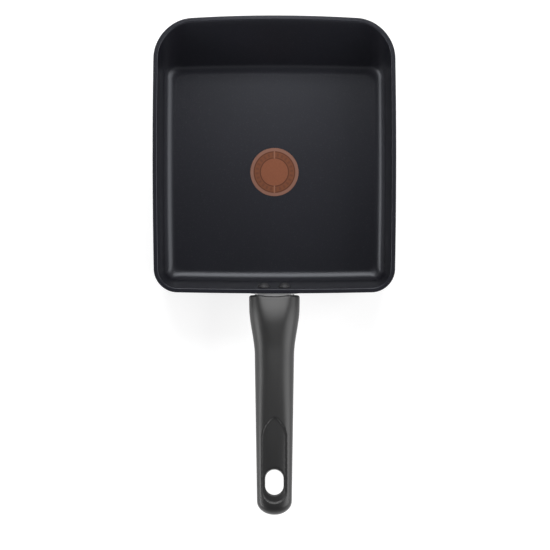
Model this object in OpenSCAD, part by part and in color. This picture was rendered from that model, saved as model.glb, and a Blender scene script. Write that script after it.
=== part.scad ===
// Rectangular rolled-omelette pan with a riveted bracket and a moulded handle.
// The origin is the centre of the flat base. +Z is up and the handle points along -Y.

/* [Pan] */
// Outer length of the rim, from the near wall to the far wall
pan_l = 186.2; // [160:0.2:220]
// Outer width of the rim
pan_w = 163.1; // [135:0.1:210]
// Height from the base to the top of the rim
pan_h = 40; // [38:1:50]
// Thickness of the walls, measured level
wall_t = 3; // [1.8:0.1:3.6]
// Thickness of the floor
floor_t = 2.8; // [2.2:0.1:4.4]
// Slope of the far wall from the vertical, in degrees
far_slope = 36; // [20:1:42]
// Slope of the near wall from the vertical, in degrees
near_slope = 9; // [6:1:15]
// Slope of the side walls from the vertical, in degrees
side_slope = 3.5; // [2:0.5:12]
// Inside radius where the floor turns up into the walls
fillet_r = 8; // [5:0.5:11]
// Outside corner radius of the rim at the far end
far_corner_r = 25; // [18:0.5:34]
// Outside corner radius of the rim at the near end
near_corner_r = 15.2; // [12:0.2:24]
// Inside corner radius of the floor at the far end
far_floor_r = 6.5; // [4:0.5:12]
// Inside corner radius of the floor at the near end
near_floor_r = 5; // [4:0.5:10]
// Outward bow of the far wall at the rim
far_bow = 3.6; // [1:0.1:4.6]
// Outward bow of the far wall at the base
far_base_bow = 1.3; // [0.4:0.1:2]
// Outward bow of the near wall
near_bow = 1.1; // [0.2:0.1:1.6]
// Outward bow of each side wall
side_bow = 1.1; // [0.2:0.1:2]
// Rounding of the rim's inner edge
rim_round = 0.6; // [0.3:0.1:0.8]
// Rounding of the rim's outer edge
rim_edge = 0.3; // [0.2:0.1:0.6]

/* [Base] */
// Number of turned rings in the underside
base_rings = 5; // [2:1:6]
// Radius of the smallest turned ring
ring_first_r = 14; // [10:1:18]
// Distance from one turned ring to the next
ring_pitch = 9; // [6:0.5:9]
// Width of a turned ring
ring_w = 1.2; // [0.6:0.1:2]
// Depth of a turned ring
ring_d = 0.3; // [0.2:0.05:0.6]

/* [Heat indicator] */
// Diameter of the round heat-indicator spot
spot_d = 33.5; // [26:0.5:44]
// Thickness of the heat-indicator spot
spot_t = 0.2; // [0.15:0.05:0.4]
// Clearance round the spot in its recess
spot_gap = 0.1; // [0.05:0.05:0.2]

/* [Rivets] */
// Distance between the two rivets
rivet_span = 13.8; // [12.5:0.1:14.2]
// Distance from the top of the rim down to the rivets
rivet_drop = 9.6; // [9:0.1:11]
// Diameter of the rivet's shank
rivet_d = 4.6; // [4:0.1:5]
// Diameter of the rivet's head inside the pan
rivet_head_d = 9; // [7:0.1:10]
// Height of the rivet's head
rivet_head_h = 3; // [2:0.1:3.5]
// Diameter of the rivet's closed tail
rivet_tail_d = 6.4; // [5.8:0.1:6.6]
// Height of the rivet's closed tail
rivet_tail_h = 1.5; // [1:0.1:1.8]
// Radial clearance of the rivet in its holes
rivet_gap = 0.1; // [0.05:0.05:0.2]
// Clearance between the rivet's head and the bowed wall
head_gap = 0.02; // [0.01:0.01:0.05]

/* [Bracket] */
// Width of the bracket's foot along the pan
foot_w = 37.4; // [34:0.2:42]
// Height of the bracket's foot
foot_h = 17; // [16:0.5:18]
// Distance from the top of the rim down to the foot
foot_drop = 4.8; // [4.6:0.1:5.2]
// Thickness of the foot in its middle
foot_t = 1.2; // [1.1:0.1:2]
// Thickness of the foot at its two ends
foot_edge_t = 0.8; // [0.6:0.1:1]
// Corner radius of the foot
foot_corner_r = 5; // [3:0.5:7]
// Clearance between the foot and the bowed wall
foot_gap = 0.02; // [0.01:0.01:0.05]
// Distance from the top of the rim down to the handle's axis at the foot
axis_drop = 10; // [9.6:0.1:10.6]
// Rise of the handle's axis from the level, in degrees
rise = 15; // [10:1:18]
// Thickness of the bracket's folded sheet
sheet_t = 1.4; // [1.2:0.1:1.8]
// Width of the tongue where it leaves the foot
tongue_root_w = 24.6; // [24.4:0.1:25]
// Width of the tongue inside the handle
tongue_w = 14; // [12.8:0.1:14.6]
// Height of the tongue
tongue_h = 11.6; // [11.4:0.1:12]
// Height of the tongue's sides at its end
tongue_end_h = 7.4; // [6.6:0.2:8]
// Length of the tongue from the foot
tongue_l = 50; // [48:0.5:52]
// Length of the tongue's wide part
tongue_wide_l = 9; // [8:0.5:10]
// Distance from the foot to where the tongue has its inner width
tongue_taper_l = 30; // [28:0.5:31]

/* [Flame guard] */
// Thickness of the flame guard's sheet
guard_t = 0.8; // [0.6:0.1:0.8]
// Clearance between the flame guard and the tongue
guard_gap = 0.25; // [0.2:0.05:0.3]
// Outside corner radius of the flame guard
guard_corner_r = 3; // [2:0.5:4]
// Length of the flame guard from the foot
guard_l = 8; // [7:0.25:8.5]
// Clearance between the flame guard and the foot
guard_foot_gap = 0.15; // [0.1:0.05:0.25]
// Clearance between the flame guard and the wall above the foot
guard_wall_gap = 0.15; // [0.1:0.05:0.25]

/* [Grip] */
// Length of the handle from the foot to the tip
grip_l = 148; // [140:0.2:158]
// Width of the handle next to the pan
root_w = 34.4; // [33:0.2:37]
// Width of the handle past the flare
waist_w = 26.3; // [25:0.1:28]
// Width of the handle next to the tip
tail_w = 22.8; // [21:0.2:25]
// Distance from the foot to the start of the narrowing
flare_from = 10.5; // [9:0.5:12]
// Distance from the foot to the end of the narrowing
flare_to = 43; // [40:0.5:46]
// Height of the handle above its axis past the flare
waist_up = 8.8; // [8.6:0.1:10]
// Height of the handle below its axis past the flare
waist_down = 8.6; // [8.4:0.1:10]
// Extra height above and below the axis next to the pan
root_extra = 1.5; // [1.2:0.1:2.4]
// Height of the handle above its axis next to the tip
tail_up = 7; // [6.6:0.1:8]
// Height of the handle below its axis next to the tip
tail_down = 6.6; // [6:0.1:8]
// Drop of the top next to the pan
root_dip = 1.2; // [0.6:0.1:1.5]
// Depth of the flat thumb facet at the pan's end
facet_d = 1.8; // [1:0.1:2.4]
// Length of the flat thumb facet
facet_l = 24; // [18:0.5:30]
// Depth of the long hollow along the top
scoop_d = 0.2; // [0.1:0.1:1]
// Upward slope of the axis at the foot, relative to the rise
lift = 2; // [1:0.2:2.6]
// Downward slope of the axis at the tip, relative to the rise
fall = 6; // [3:0.2:8]
// Length of the rounded tip
tip_l = 8.6; // [6:0.2:10]
// Radius of the hollow end that faces the pan
end_r = 72; // [64:1:90]
// Distance from the foot to the middle of the hollow end
end_gap = 4.2; // [4:0.1:5]
// Clearance of the socket round the tongue
socket_gap = 0.3; // [0.2:0.05:0.35]
// Clearance of the socket's mouth round the flame guard
mouth_gap = 0.25; // [0.2:0.05:0.3]

/* [Hang hole and panel] */
// Width of the hang hole
hole_w = 12; // [10:0.1:14]
// Length of the hang hole
hole_l = 16.6; // [15:0.1:19]
// Distance from the tip to the centre of the hang hole
hole_from_tip = 20.9; // [19:0.1:22]
// Bevel round the mouths of the hang hole
hole_bevel = 0.9; // [0.4:0.1:1.2]
// Width of the recessed panel round the hang hole
panel_w = 16; // [15.4:0.1:17]
// Length of the straight part of the panel
panel_l = 41.8; // [36:0.2:46]
// Distance from the tip to the end of the panel
panel_from_tip = 6.6; // [5:0.1:9]
// Depth of the recessed panel below the handle's crown
panel_d = 0.7; // [0.4:0.1:1]

/* [Screw] */
// Distance from the foot to the screw
screw_at = 40; // [38:0.5:42]
// Diameter of the screw
screw_d = 5; // [4.5:0.1:5.2]
// Diameter of the screw's head
screw_head_d = 8.6; // [8:0.1:9]
// Height of the screw's head
screw_head_h = 2.6; // [2:0.1:2.8]
// Diameter of the screw's face, inside the bevel of its head
screw_face_d = 6.9; // [6:0.1:7.6]
// Width of the slots in the screw's head
screw_slot_w = 1.3; // [0.8:0.1:1.6]
// Length of the slots in the screw's head
screw_slot_l = 5; // [4:0.2:6]
// Depth of the slots in the screw's head
screw_slot_d = 1.4; // [0.8:0.1:1.6]
// Distance between the screw's end and the top of the nut
screw_end_gap = 0.4; // [0.2:0.1:0.8]
// Radial clearance of the screw in the nut
thread_gap = 0.05; // [0.03:0.01:0.08]
// Radial clearance of the screw in the handle and in the washer
screw_gap = 0.2; // [0.15:0.05:0.3]
// Outside diameter of the washer
washer_d = 9.4; // [9.2:0.1:9.6]
// Thickness of the washer
washer_t = 0.8; // [0.6:0.1:1]
// Radial clearance of the washer in its counterbore
bore_gap = 0.3; // [0.2:0.05:0.4]
// Width across the flats of the nut
nut_af = 8; // [7.4:0.1:8.4]
// Height of the nut
nut_h = 3.8; // [3.4:0.1:4]

/* [Hidden] */
$fn = 64;
eps = 0.01;
coating = "#26262a";
phenolic = "#333335";
steel = "#8c8c90";

corner_steps = 10;
side_steps = 8;
bow_fade = 40;
outer_fillet_r = fillet_r + wall_t;

// Height at which a fillet of radius r meets a wall of slope a.
function meet_h(r, a) = r * (1 - sin(a));

// Level distance from the rim's line to the wall at height z, with the floor at height z0.
function inset(z, a, r, z0) =
    let (m = meet_h(r, a), c = (pan_h - z0 - m) * tan(a) + r * cos(a))
    z - z0 >= m ? (pan_h - z) * tan(a) : c - sqrt(max(0, r * r - pow(z0 + r - z, 2)));

flat_near = inset(0, near_slope, outer_fillet_r, 0);
flat_far = inset(0, far_slope, outer_fillet_r, 0);
near_y = -(pan_l + flat_near - flat_far) / 2;
far_y = near_y + pan_l;
mid_y = (near_y + far_y) / 2;
half_w = pan_w / 2 - side_bow;
floor_near_y = near_y + wall_t + inset(floor_t, near_slope, fillet_r, floor_t);
floor_far_y = far_y - wall_t - inset(floor_t, far_slope, fillet_r, floor_t);
spot_y = (floor_near_y + floor_far_y) / 2;

function ease(t) = let (u = min(1, max(0, t))) u * u * (3 - 2 * u);

// Outward bows of the four walls, with the far wall's bow given.
function bowed(p, far) =
    let (
        u = p[0] / half_w,
        v = (p[1] - mid_y) / (pan_l / 2),
        wx = ease(abs(p[0]) / bow_fade),
        wy = ease(abs(p[1] - mid_y) / bow_fade),
        bow = p[1] > mid_y ? far : near_bow
    )
    [
        p[0] + sign(p[0]) * side_bow * max(0, 1 - v * v) * wx,
        p[1] + sign(p[1] - mid_y) * bow * max(0, 1 - u * u) * wy
    ];

// One level ring of the pan: insets of side, far and near walls, and its two corner radii.
function ring(es, ef, en, rf, rn, z) =
    let (
        hw = half_w - es,
        far = far_base_bow + (far_bow - far_base_bow) * z / pan_h,
        yf = far_y - far - ef,
        yn = near_y + near_bow + en,
        c = [[hw - rn, yn + rn], [hw - rf, yf - rf], [rf - hw, yf - rf], [rn - hw, yn + rn]],
        r = [rn, rf, rf, rn]
    )
    [
        for (k = [0:3])
            let (
                a1 = 90 * k,
                next = (k + 1) % 4,
                p = c[k] + r[k] * [cos(a1), sin(a1)],
                q = c[next] + r[next] * [cos(a1), sin(a1)]
            )
            each [
                for (i = [0:corner_steps])
                    let (a = a1 - 90 + 90 * i / corner_steps)
                    concat(bowed(c[k] + r[k] * [cos(a), sin(a)], far), [z]),
                for (i = [1:side_steps - 1])
                    concat(bowed(p + (q - p) * i / side_steps, far), [z])
            ]
    ];

// A ring of the outer skin (in = 0) or of the inner skin (in = 1), with an extra inset e.
function skin_ring(z, in, e) =
    let (
        z0 = in * floor_t,
        r = in == 1 ? fillet_r : outer_fillet_r,
        shift = in * wall_t + e,
        up = z / pan_h,
        rf = far_floor_r + wall_t + (far_corner_r - far_floor_r - wall_t) * up - shift,
        rn = near_floor_r + wall_t + (near_corner_r - near_floor_r - wall_t) * up - shift
    )
    ring(
        inset(z, side_slope, r, z0) + shift,
        inset(z, far_slope, r, z0) + shift,
        inset(z, near_slope, r, z0) + shift,
        rf,
        rn,
        z
    );

fillet_angles = [0, 14, 26, 37, 48, 59, 70];
outer_rim_angles = [0, 30, 60, 90];
inner_rim_angles = [90, 68, 45, 22, 0];
wall_shares = [0.35, 0.7];
pan_rings = [
    for (a = fillet_angles)
        skin_ring(outer_fillet_r * (1 - cos(a)), 0, 0),
    for (t = concat(0, wall_shares))
        let (
            low = meet_h(outer_fillet_r, side_slope),
            high = pan_h - rim_edge
        )
        skin_ring(low + (high - low) * t, 0, 0),
    for (a = outer_rim_angles)
        skin_ring(pan_h - rim_edge * (1 - sin(a)), 0, rim_edge * (1 - cos(a))),
    for (a = inner_rim_angles)
        skin_ring(pan_h - rim_round * (1 - sin(a)), 1, -rim_round * (1 - cos(a))),
    for (t = concat(wall_shares, 1))
        let (
            low = floor_t + meet_h(fillet_r, side_slope),
            high = pan_h - rim_round
        )
        skin_ring(high + (low - high) * t, 1, 0),
    for (i = [len(fillet_angles) - 1:-1:0])
        skin_ring(floor_t + fillet_r * (1 - cos(fillet_angles[i])), 1, 0)
];

// A closed skin over rings that all have the same number of points.
module skin(rings) {
    n = len(rings[0]);
    last = (len(rings) - 1) * n;
    polyhedron(
        points = [for (r = rings) each r],
        faces = [
            [for (i = [0:n - 1]) i],
            for (k = [0:len(rings) - 2], i = [0:n - 1])
                let (j = (i + 1) % n, a = k * n)
                each [[a + i, a + n + i, a + n + j], [a + i, a + n + j, a + j]],
            [for (i = [n - 1:-1:0]) last + i]
        ]
    );
}

// Frame on the outside of the near wall: -Y points out of the wall and +Z up along it.
module on_wall(drop) {
    translate([0, near_y + drop * tan(near_slope), pan_h - drop])
        rotate([near_slope, 0, 0])
            children();
}

// Frame of the handle: -Y runs along the handle and +Z out of its top.
axis_y = near_y + axis_drop * tan(near_slope) - foot_t / cos(near_slope);
module on_handle() {
    translate([0, axis_y, pan_h - axis_drop])
        rotate([-rise, 0, 0])
            children();
}

wall_n = wall_t * cos(near_slope);
head_seat = wall_n + near_bow * pow((rivet_span + rivet_head_d) / 2 / half_w, 2) + head_gap;
tongue_round = guard_corner_r - guard_t - guard_gap;
into_wall = 10;
foot_r = pow(foot_w / 2, 2) / (2 * (foot_t - foot_edge_t)) + (foot_t - foot_edge_t) / 2;

// Cutters of the two rivet holes, through the wall and the foot.
module rivet_holes() {
    for (x = [-1, 1])
        on_wall(rivet_drop)
            translate([x * rivet_span / 2, 0, 0])
                rotate([90, 0, 0])
                    cylinder(d = rivet_d + 2 * rivet_gap, h = 4 * (wall_t + foot_t), center = true);
}

module pan_body() {
    color(coating)
        difference() {
            skin(pan_rings);
            translate([0, spot_y, floor_t - spot_t])
                cylinder(d = spot_d + 2 * spot_gap, h = 2 * spot_t);
            rivet_holes();
            for (k = [0:base_rings - 1])
                let (r = ring_first_r + k * ring_pitch)
                translate([0, 0, -1])
                    difference() {
                        cylinder(r = r + ring_w / 2, h = 1 + ring_d);
                        translate([0, 0, -1])
                            cylinder(r = r - ring_w / 2, h = 3 + ring_d);
                    }
        }
}

module heat_indicator() {
    color("#8c5a44")
        translate([0, spot_y, floor_t - spot_t])
            cylinder(d = spot_d, h = spot_t);
}

// Part of a ball of base diameter d and height h, standing on the plane z = 0.
module dome(d, h) {
    r = (d * d / 4 + h * h) / (2 * h);
    intersection() {
        translate([0, 0, h - r])
            sphere(r = r);
        cylinder(d = d + 1, h = h + 1);
    }
}

module rivet(side) {
    on_wall(rivet_drop)
        translate([side * rivet_span / 2, 0, 0])
            rotate([90, 0, 0]) {
                translate([0, 0, -head_seat])
                    cylinder(d = rivet_d, h = head_seat + foot_t + eps);
                translate([0, 0, -head_seat])
                    rotate([180, 0, 0])
                        dome(rivet_head_d, rivet_head_h);
                translate([0, 0, foot_t])
                    cylinder(d = rivet_tail_d, h = rivet_tail_h);
            }
}

module rivet_left() {
    color(coating)
        rivet(-1);
}

module rivet_right() {
    color(coating)
        rivet(1);
}

// A square with round corners, made of plain squares and circles.
module round_square(w, h, r) {
    square([w - 2 * r, h], center = true);
    square([w, h - 2 * r], center = true);
    for (x = [-1, 1], y = [-1, 1])
        translate([x * (w / 2 - r), y * (h / 2 - r)])
            circle(r = r);
}

// The tongue seen from above, from y0 behind the foot to y1, with its sides moved out by g.
module tongue_plan(g, y0, y1) {
    a = tongue_root_w / 2 + g;
    b = tongue_w / 2 + g;
    polygon([
        [-a, -y0],
        [-a, -tongue_wide_l - g],
        [-b, -tongue_taper_l - g],
        [-b, -y1],
        [b, -y1],
        [b, -tongue_taper_l - g],
        [a, -tongue_wide_l - g],
        [a, -y0]
    ]);
}

// The tongue seen from the side as [along the handle, up], grown by g.
module tongue_side(g, y0, y1) {
    top = tongue_h / 2 + g;
    low = tongue_h / 2 - tongue_end_h - g;
    polygon([[y0, top], [y1, top], [y1, low], [tongue_wide_l, -top], [y0, -top]]);
}

module tongue_body(g, y0, y1) {
    intersection() {
        linear_extrude(4 * tongue_h, center = true)
            tongue_plan(g, y0, y1);
        rotate([90, 0, -90])
            linear_extrude(2 * tongue_root_w, center = true)
                tongue_side(g, y0, y1);
        rotate([90, 0, 0])
            linear_extrude(4 * tongue_l, center = true)
                round_square(tongue_root_w + 2 * g, tongue_h + 2 * g, tongue_round + g);
    }
}

module handle_bracket() {
    color("#3a3a3c")
        difference() {
            union() {
                on_wall(foot_drop + foot_h / 2)
                    intersection() {
                        translate([0, foot_r - foot_t, -foot_h])
                            cylinder(r = foot_r, h = 2 * foot_h, $fn = 360);
                        translate([0, -foot_gap, 0])
                            rotate([90, 0, 0])
                                linear_extrude(2 * foot_t)
                                    round_square(foot_w, foot_h, foot_corner_r);
                    }
                difference() {
                    on_handle()
                        difference() {
                            tongue_body(0, -into_wall, tongue_l);
                            translate([0, 0, -tongue_h / 2 - sheet_t])
                                linear_extrude(tongue_h)
                                    tongue_plan(-sheet_t, -2 * into_wall, 2 * tongue_l);
                        }
                    on_wall(axis_drop)
                        translate([-foot_w, -foot_edge_t / 2, -foot_w])
                            cube(2 * foot_w);
                }
            }
            rivet_holes();
        }
}

foot_top = foot_h / 2 - (foot_drop + foot_h / 2 - axis_drop) / cos(near_slope);
guard_w = tongue_root_w + 2 * (guard_gap + guard_t);
guard_h = tongue_h + 2 * (guard_gap + guard_t);

module flame_guard() {
    color("#a8a8aa")
        difference() {
            on_handle()
                rotate([90, 0, 0])
                    translate([0, 0, -into_wall])
                        difference() {
                            linear_extrude(into_wall + guard_l)
                                round_square(guard_w, guard_h, guard_corner_r);
                            translate([0, 0, -1])
                                linear_extrude(into_wall + guard_l + 2)
                                    round_square(
                                        guard_w - 2 * guard_t,
                                        guard_h - 2 * guard_t,
                                        guard_corner_r - guard_t
                                    );
                        }
            on_wall(axis_drop) {
                translate([0, foot_r - foot_t, -foot_w])
                    cylinder(r = foot_r + guard_foot_gap, h = foot_w + foot_top + guard_foot_gap, $fn = 360);
                translate([-foot_w, -guard_wall_gap, -foot_w])
                    cube(2 * foot_w);
            }
        }
}

// Shape of the handle at the distance s from the foot.
tail_s = grip_l - tip_l;
scoop_from = 16;
scoop_to = 86;
scoop_fade = 26;
scoop_half = 0.65;
plain_e = 2.05;
root_e = 0.2;
tail_e = 0.6;
tail_e_from = 58;
tail_e_fade = 40;
bend = (tan(lift) + tan(fall)) / (2 * grip_l);
function flare(s) = 1 - ease((s - flare_from) / (flare_to - flare_from));
function along(s) = (s - flare_to) / (tail_s - flare_to);
function axis_z(s) = s * tan(lift) - bend * s * s;
function half_width(s) =
    let (base = waist_w + (tail_w - waist_w) * along(s))
    (base + (root_w - waist_w - (waist_w - tail_w) * flare_to / (tail_s - flare_to)) * flare(s)) / 2;
function crest(s) =
    waist_up + (tail_up - waist_up) * along(s) + root_extra * flare(s) - root_dip * (1 - ease(s / facet_l));
function belly(s) = waist_down + (tail_down - waist_down) * along(s) + root_extra * flare(s);
function facet(s) = crest(s) - facet_d * (1 - s / facet_l);
function scoop(s) = scoop_d * ease((s - scoop_from) / scoop_fade) * (1 - ease((s - scoop_to) / scoop_fade));
function squareness(s) = plain_e + root_e * flare(s) + tail_e * ease((s - tail_e_from) / tail_e_fade);

// One section of the handle: shrink in width and in height, then its place along the axis.
section_n = 36;
function section(s, fw, fh) =
    let (w = half_width(s) * fw, t = crest(s) * fh, b = belly(s) * fh, e = squareness(s))
    [
        for (i = [0:section_n - 1])
            let (
                a = 360 * i / section_n,
                x = w * sign(cos(a)) * pow(abs(cos(a)), 2 / e),
                up = pow(abs(sin(a)), 2 / e),
                u = x / (scoop_half * half_width(s)),
                hollow = abs(u) < 1 ? scoop(s) * pow(1 - u * u, 2) * fh : 0,
                z = sin(a) > 0 ? min(t * up - hollow, s < facet_l ? facet(s) : t) : -b * up
            )
            [x, -s, axis_z(s) + z]
    ];

station_n = 46;
skin_back = 9;
tip_fall = 4;
tip_round = 0.45;
tip_angles = [12, 26, 40, 54, 66, 76, 84];
grip_rings = [
    for (i = [0:station_n])
        section(-skin_back + (tail_s + skin_back) * i / station_n, 1, 1),
    for (a = tip_angles)
        section(tail_s + tip_l * sin(a), cos(a), pow(1 - pow(sin(a), tip_fall), tip_round))
];

// The pan-side end is hollow, and square to the handle.
module hollow_end() {
    translate([0, end_r - end_gap, -root_w])
        cylinder(r = end_r, h = 2 * root_w, $fn = 240);
}

hole_s = grip_l - hole_from_tip;
panel_end_s = grip_l - panel_from_tip;
tail_slope = atan(tan(lift) - 2 * bend * hole_s);

// Frame at the hang hole, square to the handle's axis there.
module on_tail() {
    translate([0, -hole_s, axis_z(hole_s)])
        rotate([-tail_slope, 0, 0])
            children();
}

module slot_plan(w, l) {
    square([w, l - w], center = true);
    for (y = [-1, 1])
        translate([0, y * (l - w) / 2])
            circle(d = w);
}

// Bevel of a slot whose narrow end is w wide: it opens by b on every side over the height b.
module slot_bevel(w, l, b) {
    for (y = [-1, 1])
        translate([0, y * (l - w) / 2, 0])
            cylinder(r1 = w / 2, r2 = w / 2 + 2 * b, h = 2 * b);
    rotate([90, 0, 0])
        linear_extrude(l - w, center = true)
            polygon([[-w / 2, 0], [w / 2, 0], [w / 2 + 2 * b, 2 * b], [-w / 2 - 2 * b, 2 * b]]);
}

// The recessed panel's outline: a pointed arch towards the pan, straight sides and a round end.
module panel_plan() {
    spring = panel_end_s - panel_l;
    r = panel_w / 2;
    polygon(concat(
        [for (a = [60:-5:0]) [panel_w * cos(a) - r, panel_w * sin(a) - spring]],
        [for (a = [0:-10:-180]) [r * cos(a), r * sin(a) + r - panel_end_s]],
        [for (a = [0:5:55]) [r - panel_w * cos(a), panel_w * sin(a) - spring]]
    ));
}

screw_seat = axis_z(screw_at) - belly(screw_at) + screw_head_h + washer_t;

module grip() {
    color(phenolic)
        on_handle()
            difference() {
                skin(grip_rings);
                hollow_end();
                tongue_body(socket_gap, -2 * skin_back, tongue_l + socket_gap);
                rotate([90, 0, 0])
                    translate([0, 0, -2 * skin_back])
                        linear_extrude(2 * skin_back + guard_l + mouth_gap)
                            round_square(
                                guard_w + 2 * mouth_gap,
                                guard_h + 2 * mouth_gap,
                                guard_corner_r + mouth_gap
                            );
                translate([0, -screw_at, screw_seat - 2 * belly(screw_at)])
                    cylinder(d = washer_d + 2 * bore_gap, h = 2 * belly(screw_at));
                translate([0, -screw_at, -belly(screw_at)])
                    cylinder(d = screw_d + 2 * screw_gap, h = belly(screw_at));
                on_tail() {
                    linear_extrude(4 * (tail_up + tail_down), center = true)
                        slot_plan(hole_w, hole_l);
                    translate([0, 0, crest(hole_s) - panel_d - hole_bevel])
                        slot_bevel(hole_w, hole_l, hole_bevel);
                    translate([0, 0, hole_bevel - belly(hole_s)])
                        mirror([0, 0, 1])
                            slot_bevel(hole_w, hole_l, hole_bevel);
                }
                difference() {
                    linear_extrude(4 * tail_up)
                        panel_plan();
                    translate([0, 0, -panel_d])
                        skin(grip_rings);
                }
            }
}

nut_z = tongue_h / 2 - sheet_t - nut_h;

module tongue_nut() {
    color(steel)
        on_handle()
            translate([0, -screw_at, nut_z])
                difference() {
                    rotate(30)
                        cylinder(r = nut_af / 2 / cos(30), h = nut_h, $fn = 6);
                    translate([0, 0, -1])
                        cylinder(d = screw_d + 2 * thread_gap, h = nut_h + 2);
                }
}

module screw_washer() {
    color(steel)
        on_handle()
            translate([0, -screw_at, screw_seat - washer_t])
                difference() {
                    cylinder(d = washer_d, h = washer_t);
                    translate([0, 0, -1])
                        cylinder(d = screw_d + 2 * screw_gap, h = washer_t + 2);
                }
}

module grip_screw() {
    head_z = screw_seat - washer_t - screw_head_h;
    color(steel)
        on_handle()
            translate([0, -screw_at, head_z])
                difference() {
                    union() {
                        translate([0, 0, screw_head_h / 2])
                            cylinder(d = screw_head_d, h = screw_head_h / 2);
                        cylinder(d1 = screw_face_d, d2 = screw_head_d, h = screw_head_h / 2);
                        cylinder(d = screw_d, h = nut_z + nut_h - screw_end_gap - head_z);
                    }
                    for (a = [0, 90])
                        rotate(a)
                            translate([-screw_slot_l / 2, -screw_slot_w / 2, -1])
                                cube([screw_slot_l, screw_slot_w, 1 + screw_slot_d]);
                }
}

pan_body();
heat_indicator();
rivet_left();
rivet_right();
handle_bracket();
flame_guard();
grip();
tongue_nut();
grip_screw();
screw_washer();
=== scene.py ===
"""Dresses the rectangular rolled-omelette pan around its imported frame.

Sizes are in millimetres until a mesh is made, and those of the lights are in metres. The pan's own
frame is used throughout: the origin is the centre of the flat base, +Z is up and the handle points
along -Y.
"""

from math import asin, atan, atan2, cos, hypot, pi, radians, sin, sqrt, tan

import bmesh
import bpy
from mathutils import Matrix, Vector


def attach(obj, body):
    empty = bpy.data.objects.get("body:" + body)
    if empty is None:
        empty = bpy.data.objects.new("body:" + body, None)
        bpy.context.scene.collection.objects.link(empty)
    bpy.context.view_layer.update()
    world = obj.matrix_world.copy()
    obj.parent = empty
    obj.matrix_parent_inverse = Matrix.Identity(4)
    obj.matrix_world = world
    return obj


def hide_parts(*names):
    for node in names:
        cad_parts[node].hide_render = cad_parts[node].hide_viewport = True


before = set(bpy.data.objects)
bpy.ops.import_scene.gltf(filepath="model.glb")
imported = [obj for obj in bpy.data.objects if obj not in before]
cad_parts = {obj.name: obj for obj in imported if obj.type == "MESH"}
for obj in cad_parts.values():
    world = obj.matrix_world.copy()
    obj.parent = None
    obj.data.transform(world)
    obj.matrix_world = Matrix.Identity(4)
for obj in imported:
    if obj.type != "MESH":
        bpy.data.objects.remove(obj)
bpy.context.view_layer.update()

MM = 0.001
BODY = "root"

# Sizes that end in _L, _W, _H, _T, _D and _R are a length, width, height, thickness, depth or
# diameter, and radius. In the handle, s is the distance from the bracket's foot.

# Pan
PAN_L = 186.2
PAN_W = 163.1
PAN_H = 40
WALL_T = 3
FLOOR_T = 2.8
FAR_SLOPE = radians(36)
NEAR_SLOPE = radians(9)
SIDE_SLOPE = radians(3.5)
FILLET_R = 8
FAR_CORNER_R = 25
NEAR_CORNER_R = 15.2
FAR_FLOOR_R = 6.5
NEAR_FLOOR_R = 5
FAR_BOW = 3.6
FAR_BASE_BOW = 1.3
NEAR_BOW = 1.1
SIDE_BOW = 1.1
RIM_ROUND = 0.6
RIM_EDGE = 0.3

# Turned rings in the base
BASE_RINGS = 5
RING_FIRST_R = 14
RING_PITCH = 9
RING_W = 1.2
RING_D = 0.3
TURNED_R = 57

# Share of a ring's width that is level, and the circles of points inside the first ring
RING_LEVEL = 0.8
MIDDLE_R = (1, 6)

# Heat-indicator spot
SPOT_D = 33.5
SPOT_T = 0.2
SPOT_GAP = 0.1

# Circles of points in the recess: distance in from its edge, and radius of the inmost one
RECESS_EDGE = 2
RECESS_MIDDLE_R = 1

# The spot's profile from its underside: distance in from the edge, and height over the floor
SPOT_PROFILE = [
    (0.1, -SPOT_T),
    (0, -SPOT_T + 0.04),
    (0, -0.05),
    (0.06, 0),
    (1, 0),
    (SPOT_D / 4, 0),
    (SPOT_D / 2 - 0.5, 0),
]

# The spot's print: where the pale edge and the darker band start in from its edge, and how softly
PALE_EDGE = (2.5, 0.6)
BAND = (7.6, 0.5)

# Lines and ticks: where each starts and ends in from the spot's edge
INNER_LINE = (7.5, 6.8)
OUTER_LINE = (3.2, 2.5)
TICKS = (6.1, 3.9)
TICK_COUNT = 24
LINE_BLUR = 0.4

# Half widths of the light bars at full strength and where they fade out
BAR_HALF = (0.35, 0.6)

# Rivets
RIVET_SPAN = 13.8
RIVET_DROP = 9.6
RIVET_D = 4.6
RIVET_HEAD_D = 9
RIVET_HEAD_H = 3
RIVET_TAIL_D = 6.4
RIVET_TAIL_H = 1.5
HEAD_GAP = 0.02

# The rivets' soft edges and the tails' slight crown
HEAD_LIP_H = 0.12
RIVET_BEVEL = 0.1
TAIL_SEAT_H = 0.3
TAIL_ROUND = 0.4
TAIL_CROWN_H = 0.05
TAIL_CROWN_IN = 1.2
TAIL_MIDDLE_R = 0.3

# Bracket and flame guard
FOOT_T = 1.2
AXIS_DROP = 10
RISE = radians(15)
TONGUE_ROOT_W = 24.6
TONGUE_W = 14
TONGUE_H = 11.6
TONGUE_END_H = 7.4
TONGUE_L = 50
TONGUE_WIDE_L = 9
TONGUE_TAPER_L = 30
GUARD_T = 0.8
GUARD_GAP = 0.25
GUARD_CORNER_R = 3
GUARD_L = 8

# Rounding of the edges of the bracket, the guard and the screw
BRACKET_EDGE = 0.35
GUARD_EDGE = 0.15
SCREW_EDGE = 0.2

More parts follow.
